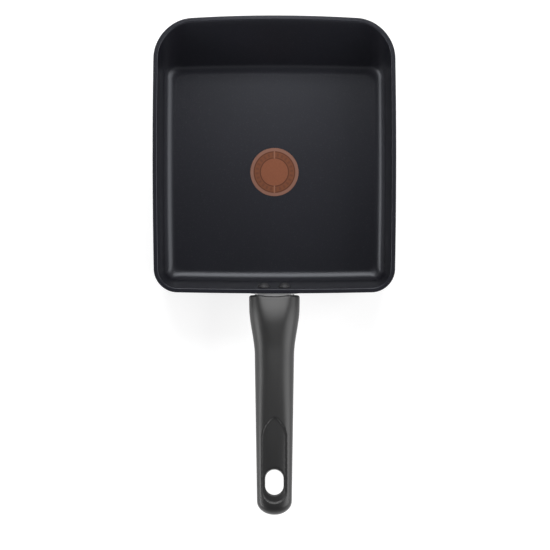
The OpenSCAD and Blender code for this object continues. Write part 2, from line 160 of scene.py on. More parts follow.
# Grip
GRIP_L = 148
ROOT_W = 34.4
WAIST_W = 26.3
TAIL_W = 22.8
FLARE_FROM = 10.5
FLARE_TO = 43
WAIST_UP = 8.8
WAIST_DOWN = 8.6
ROOT_EXTRA = 1.5
TAIL_UP = 7
TAIL_DOWN = 6.6
ROOT_DIP = 1.2
FACET_D = 1.8
FACET_L = 24
FACET_BLEND = 1.1
SCOOP_D = 0.2
SCOOP_FROM = 16
SCOOP_TO = 86
SCOOP_FADE = 26
SCOOP_HALF = 0.65
PLAIN_E = 2.05
ROOT_E = 0.2
TAIL_E = 0.6
TAIL_E_FROM = 58
TAIL_E_FADE = 40
LIFT = radians(2)
FALL = radians(6)
TIP_L = 8.6
END_R = 72
END_GAP = 4.2
END_BEVEL = 0.9
SOCKET_GAP = 0.3
MOUTH_GAP = 0.25

# How the height of the round tip falls
TIP_POWER = 4
TIP_ROOT = 0.45

# Where the uncut skin starts, its finely stepped stretch, and where the cutters start outside it
SKIN_FROM = -9
FINE_FROM = 1.5
FINE_TO = 6
CUT_FROM = -20
CUT_BELOW = -25

# The remesh that rounds the cut edges
VOXEL = 0.43
SMOOTHING = 0.5
SMOOTH_ROUNDS = 3

# Hang hole and panel
HOLE_W = 12
HOLE_L = 16.6
HOLE_FROM_TIP = 20.9
HOLE_BEVEL = 0.9
PANEL_W = 16
PANEL_L = 41.8
PANEL_FROM_TIP = 6.6
PANEL_D = 0.7
PANEL_TOP = 25
PANEL_LEAST_HALF = 0.05

# How far the hole's bevels run on past the faces, in bevels
OVERCUT = 4

# Screw
SCREW_AT = 40
SCREW_D = 5
SCREW_HEAD_H = 2.6
SCREW_GAP = 0.2
WASHER_D = 9.4
WASHER_T = 0.8
BORE_GAP = 0.3

# Camera: straight above, with the lens's axis a little inside the near rim
CAMERA_ABOVE_RIM = 950
CAMERA_INSIDE_RIM = 12.4
CAMERA_RIGHT = 0.4
RIM_MM_PER_PIXEL = 0.6686
PHOTO_PIXELS = 550
SENSOR = 36

# Studio, in metres: each soft box's place, size and brightness
BOXES_AIM = (0, -0.03, 0.03)
SOFT_BOXES = {
    "far_box": ((0, 1.02, 0.92), (0.9, 0.8), 5.8),
    "left_box": ((-1.15, -0.25, 0.5), (1.3, 0.42), 5.5),
    "right_box": ((1.06, -0.1, 0.72), (1.3, 1.0), 3.1),
}
SPOT_LAMP_PLACE = (0, 0.5, 0.8)
SPOT_LAMP_AIM = (0, 0.06, 0)
SPOT_LAMP_CONE = radians(13)
SPOT_LAMP_RADIUS = 0.06
SPOT_LAMP_POWER = 14

# How far up the sky, from 0 at the horizon to 1, its two colours stand
HORIZON_UP = 0.3
CEILING_UP = 0.75

# The floor's own grey and the white that it adds for rays that see it
FLOOR_GREY = 0.45
FLOOR_WHITE = 0.69
FLOOR_HALF = 3000
FLOOR_DROP = 0.2

# Angles over which an edge stays crisp or gets a bevel, and under which it is flat
CRISP_ANGLE = radians(32)
BEVEL_ANGLE = radians(30)
FLAT_ANGLE = radians(0.2)

# Points nearer than this, in metres, are one
SAME_POINT = 1e-6

# Steps of the meshes
CORNER_STEPS = 20
SIDE_STEPS = 22
FILLET_STEPS = 13
WALL_STEPS = 8
RIM_EDGE_STEPS = 5
RIM_TOP_STEPS = 12
RIM_ROUND_STEPS = 6
BASE_STEPS = 4
FLOOR_STEPS = 6
SPOT_STEPS = 160
LATHE_STEPS = 64
DOME_STEPS = 14
SECTION_STEPS = 120
SKIN_STEPS = 9
FINE_STEPS = 20
SHAFT_STEPS = 135
TIP_STEPS = 14
ARCH_STEPS = 14
PANEL_STEPS = 12
PANEL_ACROSS_STEPS = 16
SLOT_STEPS = 18
MOUTH_CORNER_STEPS = 6
END_STEPS = 360


def ease(t):
    """A smooth step from 0 to 1."""
    u = min(1.0, max(0.0, t))
    return u * u * (3 - 2 * u)


def steps(n, first=0.0, last=1.0):
    """n + 1 even steps from first to last."""
    return [first + (last - first) * i / n for i in range(n + 1)]


class Signal:
    """A node's output. Arithmetic on it adds Math nodes."""

    def __init__(self, nodes, socket):
        self.nodes = nodes
        self.socket = socket

    def math(self, operation, *values):
        """The result of a Math node on any values or signals."""
        return self.nodes.node("ShaderNodeMath", {"operation": operation}, dict(enumerate(values)))

    def __add__(self, other):
        return self.math("ADD", self, other)

    def __sub__(self, other):
        return self.math("SUBTRACT", self, other)

    def __mul__(self, other):
        return self.math("MULTIPLY", self, other)

    def __radd__(self, other):
        return self.math("ADD", other, self)

    def __rsub__(self, other):
        return self.math("SUBTRACT", other, self)

    def __rmul__(self, other):
        return self.math("MULTIPLY", other, self)

    def squared(self):
        """The signal times itself."""
        return self.math("MULTIPLY", self, self)

    def root(self):
        """Its square root."""
        return self.math("SQRT", self)

    def wave(self):
        """Its sine."""
        return self.math("SINE", self)

    def size(self):
        """Its distance from 0."""
        return self.math("ABSOLUTE", self)

    def between(self, low, high):
        """0 below low, 1 above high and smooth in between."""
        settings = {"interpolation_type": "SMOOTHSTEP"}
        return self.nodes.node("ShaderNodeMapRange", settings, {0: self, 1: low, 2: high})


class Nodes:
    """A node tree, to which nodes are added by type."""

    def __init__(self, tree):
        self.tree = tree

    def node(self, kind, settings=None, inputs=None, out=0):
        """Any node: its settings are set first, then its sockets' values or links."""
        made = self.tree.nodes.new(kind)
        for name, value in (settings or {}).items():
            if name == "stops":
                self.set_stops(made.color_ramp, value)
            else:
                setattr(made, name, value)
        for key, value in (inputs or {}).items():
            self.feed(made.inputs[key], value)
        return Signal(self, made.outputs[out])

    def set_stops(self, ramp, stops):
        """Gives an eased ramp its positions and colours."""
        ramp.interpolation = "EASE"
        for element, (position, colour) in zip(ramp.elements, stops):
            element.position = position
            element.color = colour

    def feed(self, socket, value):
        """Links a signal to a socket, or sets its value."""
        if isinstance(value, Signal):
            self.tree.links.new(value.socket, socket)
        else:
            socket.default_value = value


class Finish(Nodes):
    """A material of one principled shader, with the nodes that vary it."""

    def __init__(self, name, **constants):
        self.material = bpy.data.materials.new(name)
        self.material.use_nodes = True
        super().__init__(self.material.node_tree)
        self.shader = self.tree.nodes["Principled BSDF"]
        for socket, value in constants.items():
            self.vary(socket.replace("_", " ").title().replace("Ior", "IOR"), value)

    def vary(self, socket, value):
        """Sets one of the shader's sockets."""
        self.feed(self.shader.inputs[socket], value)

    def place(self, centre=(0, 0, 0)):
        """Object coordinates in millimetres from a centre."""
        where = self.node("ShaderNodeTexCoord", out="Object")
        from_centre = {0: where, 1: [v * MM for v in centre]}
        moved = self.node("ShaderNodeVectorMath", {"operation": "SUBTRACT"}, from_centre)
        return self.node("ShaderNodeVectorMath", {"operation": "MULTIPLY"}, {0: moved, 1: [1 / MM] * 3})

    def axes(self, place):
        """The three coordinates of a place."""
        split = self.node("ShaderNodeSeparateXYZ", inputs={0: place})
        return [Signal(self, socket) for socket in split.socket.node.outputs]

    def noise(self, place, size, detail=2.0, roughness=0.5):
        """Noise whose grain is about size millimetres."""
        values = {"Vector": place, "Scale": 1 / size, "Detail": detail, "Roughness": roughness}
        return self.node("ShaderNodeTexNoise", inputs=values)

    def blend(self, factor, first, second):
        """Colour from first to second as the factor goes from 0 to 1."""
        return self.node("ShaderNodeMix", {"data_type": "RGBA"}, {0: factor, 6: first, 7: second}, out=2)

    def bump(self, height, depth):
        """Relief: a height from 0 to 1 that stands depth millimetres proud."""
        values = {"Strength": 1.0, "Distance": depth * MM, "Height": height}
        self.vary("Normal", self.node("ShaderNodeBump", inputs=values))


def grey(value, blue=1.0):
    """An opaque grey, with its blue raised a little."""
    return (value, value, value * blue, 1.0)


# Colours of the finishes
COAT_DEEP = grey(0.0055, 1.5)
COAT_LIGHT = grey(0.0085, 1.5)
COAT_FLECK = grey(0.02, 1.2)
BARE_METAL = grey(0.42)
PRINT_DEEP = (0.138, 0.04, 0.016, 1)
PRINT_LIGHT = (0.198, 0.064, 0.028, 1)
PRINT_BAND = (0.1, 0.028, 0.0075, 1)
PRINT_LINE = (0.055, 0.015, 0.005, 1)
PRINT_TICK = (0.075, 0.024, 0.012, 1)
PRINT_BAR = (0.22, 0.095, 0.055, 1)
PRINT_EDGE = (0.175, 0.085, 0.06, 1)
PHENOLIC_DEEP = grey(0.008, 1.02)
PHENOLIC_LIGHT = grey(0.012, 1.02)
PAINT_DEEP = grey(0.014)
PAINT_LIGHT = grey(0.02)
STEEL_DEEP = grey(0.84)
STEEL_LIGHT = grey(0.92)
ZINC_DEEP = (0.42, 0.43, 0.44, 1)
ZINC_LIGHT = (0.56, 0.56, 0.55, 1)
RIVET_DEEP = grey(0.011, 1.2)
RIVET_LIGHT = grey(0.019, 1.15)
HORIZON = grey(0.6)
CEILING = (0.142, 0.142, 0.147, 1)


def coating_finish():
    """Dark satin non-stick coating, with a bare turned ring field under the base."""
    finish = Finish("non_stick_coating", ior=1.5, specular_tint=(0.9, 0.93, 1, 1))
    place = finish.place()
    x, y, z = finish.axes(place)
    radius = (x.squared() + y.squared()).root()
    underneath = 1 - z.between(0.42, 0.5)
    bare = underneath * (1 - radius.between(TURNED_R - 0.1, TURNED_R + 0.1))
    cloud = finish.noise(place, 38, 3)
    grain = finish.noise(place, 0.55, 2, 0.6)
    flecks = finish.noise(place, 0.8, 0).between(0.66, 0.74)
    turning = (radius * 9).wave() * 0.5 + 0.5
    coated = finish.blend(cloud, COAT_DEEP, COAT_LIGHT)
    flecked = finish.blend(flecks * 0.5, coated, COAT_FLECK)
    finish.vary("Base Color", finish.blend(bare, flecked, BARE_METAL))
    finish.vary("Metallic", bare)
    finish.vary("Roughness", 0.31 + grain * 0.08 - bare * 0.06)
    finish.bump(grain * (1 - bare) + turning * bare, 0.012)
    return finish.material


def print_finish(centre):
    """Matte copper-brown print: a pale edge, a darker band with even ticks and a plain middle."""
    finish = Finish("heat_indicator_print", specular_ior_level=0.3)
    place = finish.place(centre)
    x, y, _ = finish.axes(place)
    radius = (x.squared() + y.squared()).root()
    turn = y.math("ARCTAN2", y, x)

    def beyond(depth, blur=LINE_BLUR):
        """1 where the spot's edge is nearer than the depth."""
        start = SPOT_D / 2 - depth
        return radius.between(start, start + blur)

    def ring(deep, shallow):
        """1 between two depths in from the spot's edge."""
        return beyond(deep) * (1 - beyond(shallow))

    edge = beyond(*PALE_EDGE)
    band = beyond(*BAND) * (1 - edge)
    lines = ring(*INNER_LINE) + ring(*OUTER_LINE)
    ticks = ring(*TICKS) * (turn * TICK_COUNT).wave().between(-0.1, 0.5)
    bars = (1 - x.size().between(*BAR_HALF)) * band * (1 - edge)
    mottle = finish.noise(place, 1.6, 3)
    base = finish.blend(mottle, PRINT_DEEP, PRINT_LIGHT)
    banded = finish.blend(band * 0.6, base, PRINT_BAND)
    lined = finish.blend(lines * 0.8, banded, PRINT_LINE)
    ticked = finish.blend(ticks * 0.5, lined, PRINT_TICK)
    barred = finish.blend(bars * 0.8, ticked, PRINT_BAR)
    rimmed = finish.blend(edge * 0.85, barred, PRINT_EDGE)
    finish.vary("Base Color", rimmed)
    finish.vary("Roughness", 0.6 + mottle * 0.1)
    finish.bump(mottle * 0.3 + edge * 0.5, 0.02)
    return finish.material


def phenolic_finish():
    """Satin black-grey phenolic moulding with a fine spark-eroded grain."""
    finish = Finish("phenolic", ior=1.55)
    place = finish.place()
    cloud = finish.noise(place, 22, 2)
    grain = finish.noise(place, 0.35, 2, 0.6)
    finish.vary("Base Color", finish.blend(cloud, PHENOLIC_DEEP, PHENOLIC_LIGHT))
    finish.vary("Roughness", 0.34 + grain * 0.12)
    finish.bump(grain, 0.016)
    return finish.material


def painted_steel_finish():
    """Black baked paint on pressed steel."""
    finish = Finish("painted_steel", ior=1.5)
    grain = finish.noise(finish.place(), 0.7, 3)
    finish.vary("Base Color", finish.blend(grain, PAINT_DEEP, PAINT_LIGHT))
    finish.vary("Roughness", 0.42 + grain * 0.12)
    finish.bump(grain, 0.02)
    return finish.material


def stainless_finish():
    """Bead-blasted stainless sheet with faint rolling lines across the handle."""
    finish = Finish("matte_stainless", metallic=1.0)
    place = finish.place()
    x, y, z = finish.axes(place)
    lines = finish.node("ShaderNodeCombineXYZ", inputs={0: x * 0.06, 1: y * 3, 2: z * 3})
    brushed = finish.noise(lines, 1, 3)
    finish.vary("Base Color", finish.blend(brushed, STEEL_DEEP, STEEL_LIGHT))
    finish.vary("Roughness", 0.62 + brushed * 0.16)
    finish.bump(brushed, 0.01)
    return finish.material


def zinc_finish():
    """Zinc-plated steel with faint spangle."""
    finish = Finish("zinc_plate", metallic=1.0)
    spangle = finish.noise(finish.place(), 1.1, 2)
    finish.vary("Base Color", finish.blend(spangle, ZINC_DEEP, ZINC_LIGHT))
    finish.vary("Roughness", 0.3 + spangle * 0.15)
    finish.bump(spangle, 0.008)
    return finish.material


def rivet_finish():
    """The pan's coating over aluminium rivets, with a fine random grain."""
    finish = Finish("coated_rivet", ior=1.5)
    grain = finish.noise(finish.place(), 0.5, 3)
    finish.vary("Base Color", finish.blend(grain, RIVET_DEEP, RIVET_LIGHT))
    finish.vary("Roughness", 0.52 + grain * 0.12)
    finish.bump(grain, 0.02)
    return finish.material


def add_piece(name, bm, finish=None):
    """A new object from a bmesh in millimetres, shaded smooth with crisp edges kept."""
    bmesh.ops.recalc_face_normals(bm, faces=bm.faces)
    mesh = bpy.data.meshes.new(name)
    bm.to_mesh(mesh)
    bm.free()
    mesh.transform(Matrix.Scale(MM, 4))
    crisp(mesh)
    piece = bpy.data.objects.new(name, mesh)
    bpy.context.scene.collection.objects.link(piece)
    if finish:
        mesh.materials.append(finish)
    return piece


def crisp(mesh):
    """Smooth shading that keeps the sharper edges."""
    mesh.shade_smooth()
    mesh.set_sharp_from_angle(angle=CRISP_ANGLE)


def skin(rings):
    """A closed skin over rings of points that correspond."""
    bm = bmesh.new()
    rows = [[bm.verts.new(p) for p in ring] for ring in rings]
    for low, high in zip(rows, rows[1:]):
        for i in range(len(low)):
            j = (i + 1) % len(low)
            bm.faces.new((low[i], low[j], high[j], high[i]))
    bm.faces.new(rows[0])
    bm.faces.new(rows[-1])
    return bm


def carry(piece, slot, *nodes):
    """The piece rides on the pan and stands for CAD nodes, which it hides; the slot is not used."""
    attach(piece, BODY)
    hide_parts(*nodes)


def modify(piece, kind, **settings):
    """Adds a modifier of a kind with its settings."""
    modifier = piece.modifiers.new(kind.title(), kind)
    for name, value in settings.items():
        setattr(modifier, name, value)
    return modifier


def settle(piece):
    """Applies every modifier of a piece to its mesh."""
    evaluated = piece.evaluated_get(bpy.context.evaluated_depsgraph_get())
    mesh = bpy.data.meshes.new_from_object(evaluated)
    piece.modifiers.clear()
    piece.data = mesh


# The pan's skin


def meet_h(r, a):
    """Height at which a fillet of radius r meets a wall of slope a."""
    return r * (1 - sin(a))


def inset(z, a, r, z0):
    """Level distance from the rim's line to the wall at height z, with the floor at z0."""
    m = meet_h(r, a)
    if z - z0 >= m:
        return (PAN_H - z) * tan(a)
    c = (PAN_H - z0 - m) * tan(a) + r * cos(a)
    return c - sqrt(max(0, r * r - (z0 + r - z) ** 2))


OUTER_FILLET_R = FILLET_R + WALL_T
FLAT_NEAR = inset(0, NEAR_SLOPE, OUTER_FILLET_R, 0)
FLAT_FAR = inset(0, FAR_SLOPE, OUTER_FILLET_R, 0)
NEAR_Y = -(PAN_L + FLAT_NEAR - FLAT_FAR) / 2
FAR_Y = NEAR_Y + PAN_L
MID_Y = (NEAR_Y + FAR_Y) / 2
HALF_W = PAN_W / 2 - SIDE_BOW
FLOOR_NEAR_Y = NEAR_Y + WALL_T + inset(FLOOR_T, NEAR_SLOPE, FILLET_R, FLOOR_T)
FLOOR_FAR_Y = FAR_Y - WALL_T - inset(FLOOR_T, FAR_SLOPE, FILLET_R, FLOOR_T)
SPOT_Y = (FLOOR_NEAR_Y + FLOOR_FAR_Y) / 2
BOW_FADE = 40


def bowed(x, y, far):
    """A point of the plan, moved out by the walls' bows, with the far wall's given."""
    u = x / HALF_W
    v = (y - MID_Y) / (PAN_L / 2)
    wx = ease(abs(x) / BOW_FADE)
    wy = ease(abs(y - MID_Y) / BOW_FADE)
    bow = far if y > MID_Y else NEAR_BOW
    side = 1 if x > 0 else -1
    end = 1 if y > MID_Y else -1
    return x + side * SIDE_BOW * max(0, 1 - v * v) * wx, y + end * bow * max(0, 1 - u * u) * wy


def pan_ring(es, ef, en, rf, rn, z):
    """One level ring: insets of side, far and near walls, and its corner radii."""
    hw = HALF_W - es
    far = FAR_BASE_BOW + (FAR_BOW - FAR_BASE_BOW) * z / PAN_H
    yf = FAR_Y - far - ef
    yn = NEAR_Y + NEAR_BOW + en
    centres = [(hw - rn, yn + rn), (hw - rf, yf - rf), (rf - hw, yf - rf), (rn - hw, yn + rn)]
    radii = [rn, rf, rf, rn]
    points = []
    for k in range(4):
        (cx, cy), r = centres[k], radii[k]
        (nx, ny), nr = centres[(k + 1) % 4], radii[(k + 1) % 4]
        out = radians(90 * k)
        for a in steps(CORNER_STEPS, out - pi / 2, out):
            points.append(bowed(cx + r * cos(a), cy + r * sin(a), far))
        px, py = cx + r * cos(out), cy + r * sin(out)
        qx, qy = nx + nr * cos(out), ny + nr * sin(out)
        for t in steps(SIDE_STEPS)[1:-1]:
            points.append(bowed(px + (qx - px) * t, py + (qy - py) * t, far))
    return [(x, y, z) for x, y in points]


def skin_ring(z, inner, e=0.0):
    """A ring of the outer or of the inner skin, with an extra inset e."""
    z0 = FLOOR_T if inner else 0
    r = FILLET_R if inner else OUTER_FILLET_R
    shift = (WALL_T if inner else 0) + e
    up = z / PAN_H
    far_low = FAR_FLOOR_R + WALL_T
    near_low = NEAR_FLOOR_R + WALL_T
    return pan_ring(
        inset(z, SIDE_SLOPE, r, z0) + shift,
        inset(z, FAR_SLOPE, r, z0) + shift,
        inset(z, NEAR_SLOPE, r, z0) + shift,
        far_low + (FAR_CORNER_R - far_low) * up - shift,
        near_low + (NEAR_CORNER_R - near_low) * up - shift,
        z,
    )


def circle_like(ring, centre_y, r, z):
    """A circle whose points face the points of a ring."""
    turns = [atan2(y - centre_y, x) for x, y, _ in ring]
    return [(r * cos(a), centre_y + r * sin(a), z) for a in turns]


def between_rings(first, last, n):
    """n - 1 rings between two rings, without either of them."""
    made = []
    for t in steps(n)[1:-1]:
        made.append([tuple(a + (b - a) * t for a, b in zip(p, q)) for p, q in zip(first, last)])
    return made


def wall_heights(z0, r, top):
    """Heights of rings from the floor's edge to just under the rim."""
    low = z0 + meet_h(r, SIDE_SLOPE)
    fillet = [z0 + r * (1 - cos(a)) for a in steps(FILLET_STEPS, 0, radians(82))]
    return [z for z in fillet if z < low - 0.2] + steps(WALL_STEPS, low, top)


def base_rings(like):
    """The middle of the base and its turned rings, from the middle out."""
    rings = [circle_like(like, 0, r, 0) for r in MIDDLE_R]
    for k in range(BASE_RINGS):
        r = RING_FIRST_R + k * RING_PITCH
        for side, z in ((-1, 0), (-RING_LEVEL, RING_D), (RING_LEVEL, RING_D), (1, 0)):
            rings.append(circle_like(like, 0, r + side * RING_W / 2, z))
    return rings + [circle_like(like, 0, TURNED_R, 0)]


def rim_rings():
    """The rim: its rounded outer edge, its level top and its rounded inner edge."""
    outer = []
    for a in steps(RIM_EDGE_STEPS, 0, pi / 2)[1:]:
        outer.append(skin_ring(PAN_H - RIM_EDGE * (1 - sin(a)), False, RIM_EDGE * (1 - cos(a))))
    inner = []
    for a in steps(RIM_ROUND_STEPS, pi / 2, 0)[:-1]:
        inner.append(skin_ring(PAN_H - RIM_ROUND * (1 - sin(a)), True, -RIM_ROUND * (1 - cos(a))))
    return outer + between_rings(outer[-1], inner[0], RIM_TOP_STEPS) + inner


def floor_rings(edge):
    """The floor from its edge in, and the recess for the spot."""
    recess_r = SPOT_D / 2 + SPOT_GAP
    lip = circle_like(edge, SPOT_Y, recess_r, FLOOR_T)
    recess = []
    for r in (recess_r, recess_r - RECESS_EDGE, RECESS_MIDDLE_R):
        recess.append(circle_like(edge, SPOT_Y, r, FLOOR_T - SPOT_T))
    return between_rings(edge, lip, FLOOR_STEPS) + [lip] + recess


def build_pan(finish):
    """The pressed pan, as one skin from the middle of the base round the rim to the floor."""
    outside = [skin_ring(z, False) for z in wall_heights(0, OUTER_FILLET_R, PAN_H - RIM_EDGE)]
    inside = [skin_ring(z, True) for z in wall_heights(FLOOR_T, FILLET_R, PAN_H - RIM_ROUND)]
    base = base_rings(outside[0])
    rings = base + between_rings(base[-1], outside[0], BASE_STEPS) + outside + rim_rings()
    rings += inside[::-1] + floor_rings(inside[0])
    return add_piece("coated_pan", skin(rings), finish)


def build_indicator(finish):
    """The printed spot, level with the floor, with a softened edge."""
    turns = steps(SPOT_STEPS, 0, 2 * pi)[:-1]
    rings = []
    for inward, z in SPOT_PROFILE:
        r = SPOT_D / 2 - inward
        rings.append([(r * cos(a), SPOT_Y + r * sin(a), FLOOR_T + z) for a in turns])
    return add_piece("indicator_print", skin(rings), finish)


# Frames on the near wall and on the handle


def wall_frame(drop):
    """Outside of the near wall: -Y points out of the wall and +Z up along it."""
    place = Matrix.Translation((0, NEAR_Y + drop * tan(NEAR_SLOPE), PAN_H - drop))
    return place @ Matrix.Rotation(NEAR_SLOPE, 4, "X")


AXIS_Y = NEAR_Y + AXIS_DROP * tan(NEAR_SLOPE) - FOOT_T / cos(NEAR_SLOPE)
HANDLE_FRAME = Matrix.Translation((0, AXIS_Y, PAN_H - AXIS_DROP)) @ Matrix.Rotation(-RISE, 4, "X")


def lathe(profile, n=LATHE_STEPS):
    """Rings of a turned shape about Z, from (radius, height) pairs."""
    turns = steps(n, 0, 2 * pi)[:-1]
    return [[(r * cos(a), r * sin(a), z) for a in turns] for r, z in profile]


def repeat_tree():
    """Geometry nodes: copies of an object on a line, realized and given a material."""
    tree = bpy.data.node_groups.new("Repeat on a line", "GeometryNodeTree")
    face = tree.interface
    face.new_socket("Geometry", in_out="OUTPUT", socket_type="NodeSocketGeometry")
    names = [
        ("Piece", "NodeSocketObject"),
        ("Count", "NodeSocketInt"),
        ("First", "NodeSocketVector"),
        ("Step", "NodeSocketVector"),
        ("Turn", "NodeSocketRotation"),
        ("Finish", "NodeSocketMaterial"),
    ]
    for name, kind in names:
        face.new_socket(name, in_out="INPUT", socket_type=kind)
    nodes, links = tree.nodes, tree.links
    given = nodes.new("NodeGroupInput")
    info = nodes.new("GeometryNodeObjectInfo")
    line = nodes.new("GeometryNodeMeshLine")
    copies = nodes.new("GeometryNodeInstanceOnPoints")
    real = nodes.new("GeometryNodeRealizeInstances")
    coat = nodes.new("GeometryNodeSetMaterial")
    result = nodes.new("NodeGroupOutput")
    line.mode = "OFFSET"
    links.new(given.outputs["Piece"], info.inputs["Object"])
    links.new(given.outputs["Count"], line.inputs["Count"])
    links.new(given.outputs["First"], line.inputs["Start Location"])
    links.new(given.outputs["Step"], line.inputs["Offset"])
    links.new(line.outputs["Mesh"], copies.inputs["Points"])
    links.new(info.outputs["Geometry"], copies.inputs["Instance"])
    links.new(given.outputs["Turn"], copies.inputs["Rotation"])
    links.new(copies.outputs["Instances"], real.inputs["Geometry"])
    links.new(real.outputs["Geometry"], coat.inputs["Geometry"])
    links.new(given.outputs["Finish"], coat.inputs["Material"])
    links.new(coat.outputs["Geometry"], result.inputs["Geometry"])
    return tree


def repeated(name, pattern, finish, **values):
    """A plain mesh of a pattern piece repeated by geometry nodes."""
    tree = repeat_tree()
    piece = bpy.data.objects.new(name, bpy.data.meshes.new(name))
    bpy.context.scene.collection.objects.link(piece)
    modifier = modify(piece, "NODES", node_group=tree)
    values |= {"Piece": pattern, "Finish": finish}
    for socket in tree.interface.items_tree:
        if socket.in_out == "INPUT":
            modifier[socket.identifier] = values[socket.name]
    settle(piece)
    bpy.data.objects.remove(pattern)
    return piece


def rivet_profile(wall):
    """A rivet from its head's crown to its tail: radius, and height over the wall's outside."""
    head_r = RIVET_HEAD_D / 2
    dome_r = (head_r**2 + RIVET_HEAD_H**2) / (2 * RIVET_HEAD_H)
    half_turn = asin(head_r / dome_r)
    top = wall + RIVET_HEAD_H
    turns = [half_turn * t for t in steps(DOME_STEPS, 0.02, 0.97)]
    dome = [(dome_r * sin(a), top - dome_r + dome_r * cos(a)) for a in turns]
    head = dome + [(head_r, wall + HEAD_LIP_H), (head_r - RIVET_BEVEL, wall)]
    shank = [(RIVET_D / 2, wall), (RIVET_D / 2, -FOOT_T)]
    tail_r = RIVET_TAIL_D / 2
    end = -FOOT_T - RIVET_TAIL_H
    tail = [
        (tail_r - RIVET_BEVEL, -FOOT_T),
        (tail_r, -FOOT_T - TAIL_SEAT_H),
        (tail_r, end + TAIL_ROUND),
        (tail_r - TAIL_ROUND, end + TAIL_CROWN_H),
        (tail_r - TAIL_CROWN_IN, end),
        (TAIL_MIDDLE_R, end),
    ]
    return head + shank + tail


def build_rivets(finish):
    """Two rivets through the near wall and the bracket's foot."""
    sag = NEAR_BOW * ((RIVET_SPAN + RIVET_HEAD_D) / 2 / HALF_W) ** 2
    wall = WALL_T * cos(NEAR_SLOPE) + sag + HEAD_GAP
    pattern = add_piece("rivet_pattern", skin(lathe(rivet_profile(wall))))
    seat = wall_frame(RIVET_DROP)
    return repeated(
        "rivet_pair",
        pattern,
        finish,
        Count=2,
        First=[v * MM for v in seat @ Vector((-RIVET_SPAN / 2, 0, 0))],
        Step=(RIVET_SPAN * MM, 0, 0),
        Turn=(seat @ Matrix.Rotation(radians(-90), 4, "X")).to_euler(),
    )


def softened(name, node, width, finish):
    """A copy of a CAD node with its edges rounded by a width in millimetres."""
    bm = bmesh.new()
    bm.from_mesh(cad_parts[node].data)
    bmesh.ops.remove_doubles(bm, verts=bm.verts, dist=SAME_POINT)
    bmesh.ops.dissolve_limit(bm, angle_limit=FLAT_ANGLE, verts=bm.verts, edges=bm.edges)
    mesh = bpy.data.meshes.new(name)
    bm.to_mesh(mesh)
    bm.free()
    mesh.materials.append(finish)
    piece = bpy.data.objects.new(name, mesh)
    bpy.context.scene.collection.objects.link(piece)
    modify(piece, "BEVEL", width=width * MM, segments=3, limit_method="ANGLE", angle_limit=BEVEL_ANGLE)
    settle(piece)
    crisp(piece.data)
    return piece


# The grip's shape at the distance s from the foot

TAIL_S = GRIP_L - TIP_L
HOLE_S = GRIP_L - HOLE_FROM_TIP
PANEL_END_S = GRIP_L - PANEL_FROM_TIP
PANEL_SPRING_S = PANEL_END_S - PANEL_L
BEND = (tan(LIFT) + tan(FALL)) / (2 * GRIP_L)
TAIL_SLOPE = atan(tan(LIFT) - 2 * BEND * HOLE_S)


def flare(s):
    """1 next to the pan and 0 past the flare."""
    return 1 - ease((s - FLARE_FROM) / (FLARE_TO - FLARE_FROM))


def along(s):
    """0 where the flare ends and 1 where the tip starts."""
    return (s - FLARE_TO) / (TAIL_S - FLARE_TO)


def axis_z(s):
    """Height of the handle's bent axis."""
    return s * tan(LIFT) - BEND * s * s


def half_width(s):
    """Half the handle's width."""
    base = WAIST_W + (TAIL_W - WAIST_W) * along(s)
    spread = ROOT_W - WAIST_W - (WAIST_W - TAIL_W) * FLARE_TO / (TAIL_S - FLARE_TO)
    return (base + spread * flare(s)) / 2


def crest(s):
    """Height of the handle's top over its axis, before the facet and the hollow."""
    level = WAIST_UP + (TAIL_UP - WAIST_UP) * along(s)
    return level + ROOT_EXTRA * flare(s) - ROOT_DIP * (1 - ease(s / FACET_L))


def belly(s):
    """Depth of the handle's underside below its axis."""
    return WAIST_DOWN + (TAIL_DOWN - WAIST_DOWN) * along(s) + ROOT_EXTRA * flare(s)


def facet(s):
    """Height of the flat thumb facet, which leaves the crest at its end."""
    return crest(s) - FACET_D * (1 - s / FACET_L)


def scoop(s):
    """Depth of the long hollow in the middle of the handle."""
    return SCOOP_D * ease((s - SCOOP_FROM) / SCOOP_FADE) * (1 - ease((s - SCOOP_TO) / SCOOP_FADE))


def squareness(s):
    """Power of the section: 2 is an ellipse, and more is squarer."""
    return PLAIN_E + ROOT_E * flare(s) + TAIL_E * ease((s - TAIL_E_FROM) / TAIL_E_FADE)


def lower(a, b, blend):
    """The lower of two heights, with a smooth change over the blend."""
    d = max(0.0, blend - abs(a - b)) / blend
    return min(a, b) - d * d * blend / 4


def hollow(s, x):
    """Depth of the long hollow at x from the middle of the handle."""
    u = x / (SCOOP_HALF * half_width(s))
    return scoop(s) * (1 - u * u) ** 2 if abs(u) < 1 else 0


def crown(s, x):
    """Height of the handle's top over its axis."""
    e = squareness(s)
    return crest(s) * (1 - abs(x / half_width(s)) ** e) ** (1 / e) - hollow(s, x)


def end_bevel(s, x):
    """How far the surface is drawn in next to the hollow end that faces the pan."""
    end = END_GAP - END_R + sqrt(END_R**2 - x * x)
    return min(END_BEVEL, max(0, END_BEVEL - (s - end)))


def grip_section(s, fw=1.0, fh=1.0):
    """One section across the handle, shrunk in width and height."""
    w = half_width(s) * fw
    e = squareness(s)
    points = []
    for a in steps(SECTION_STEPS, 0, 2 * pi)[:-1]:
        x = w * (1 if cos(a) > 0 else -1) * abs(cos(a)) ** (2 / e)
        up = abs(sin(a)) ** (2 / e)
        if sin(a) > 0:
            z = lower((crest(s) * up - hollow(s, x)) * fh, facet(s), FACET_BLEND)
        else:
            z = -belly(s) * fh * up
        kept = 1 - end_bevel(s, x) / hypot(x, z)
        points.append((x * kept, -s, axis_z(s) + z * kept))
    return points


def box_ring(half_x, low, high, s):
    """A rectangle across the handle at the distance s."""
    return [(-half_x, -s, low), (half_x, -s, low), (half_x, -s, high), (-half_x, -s, high)]


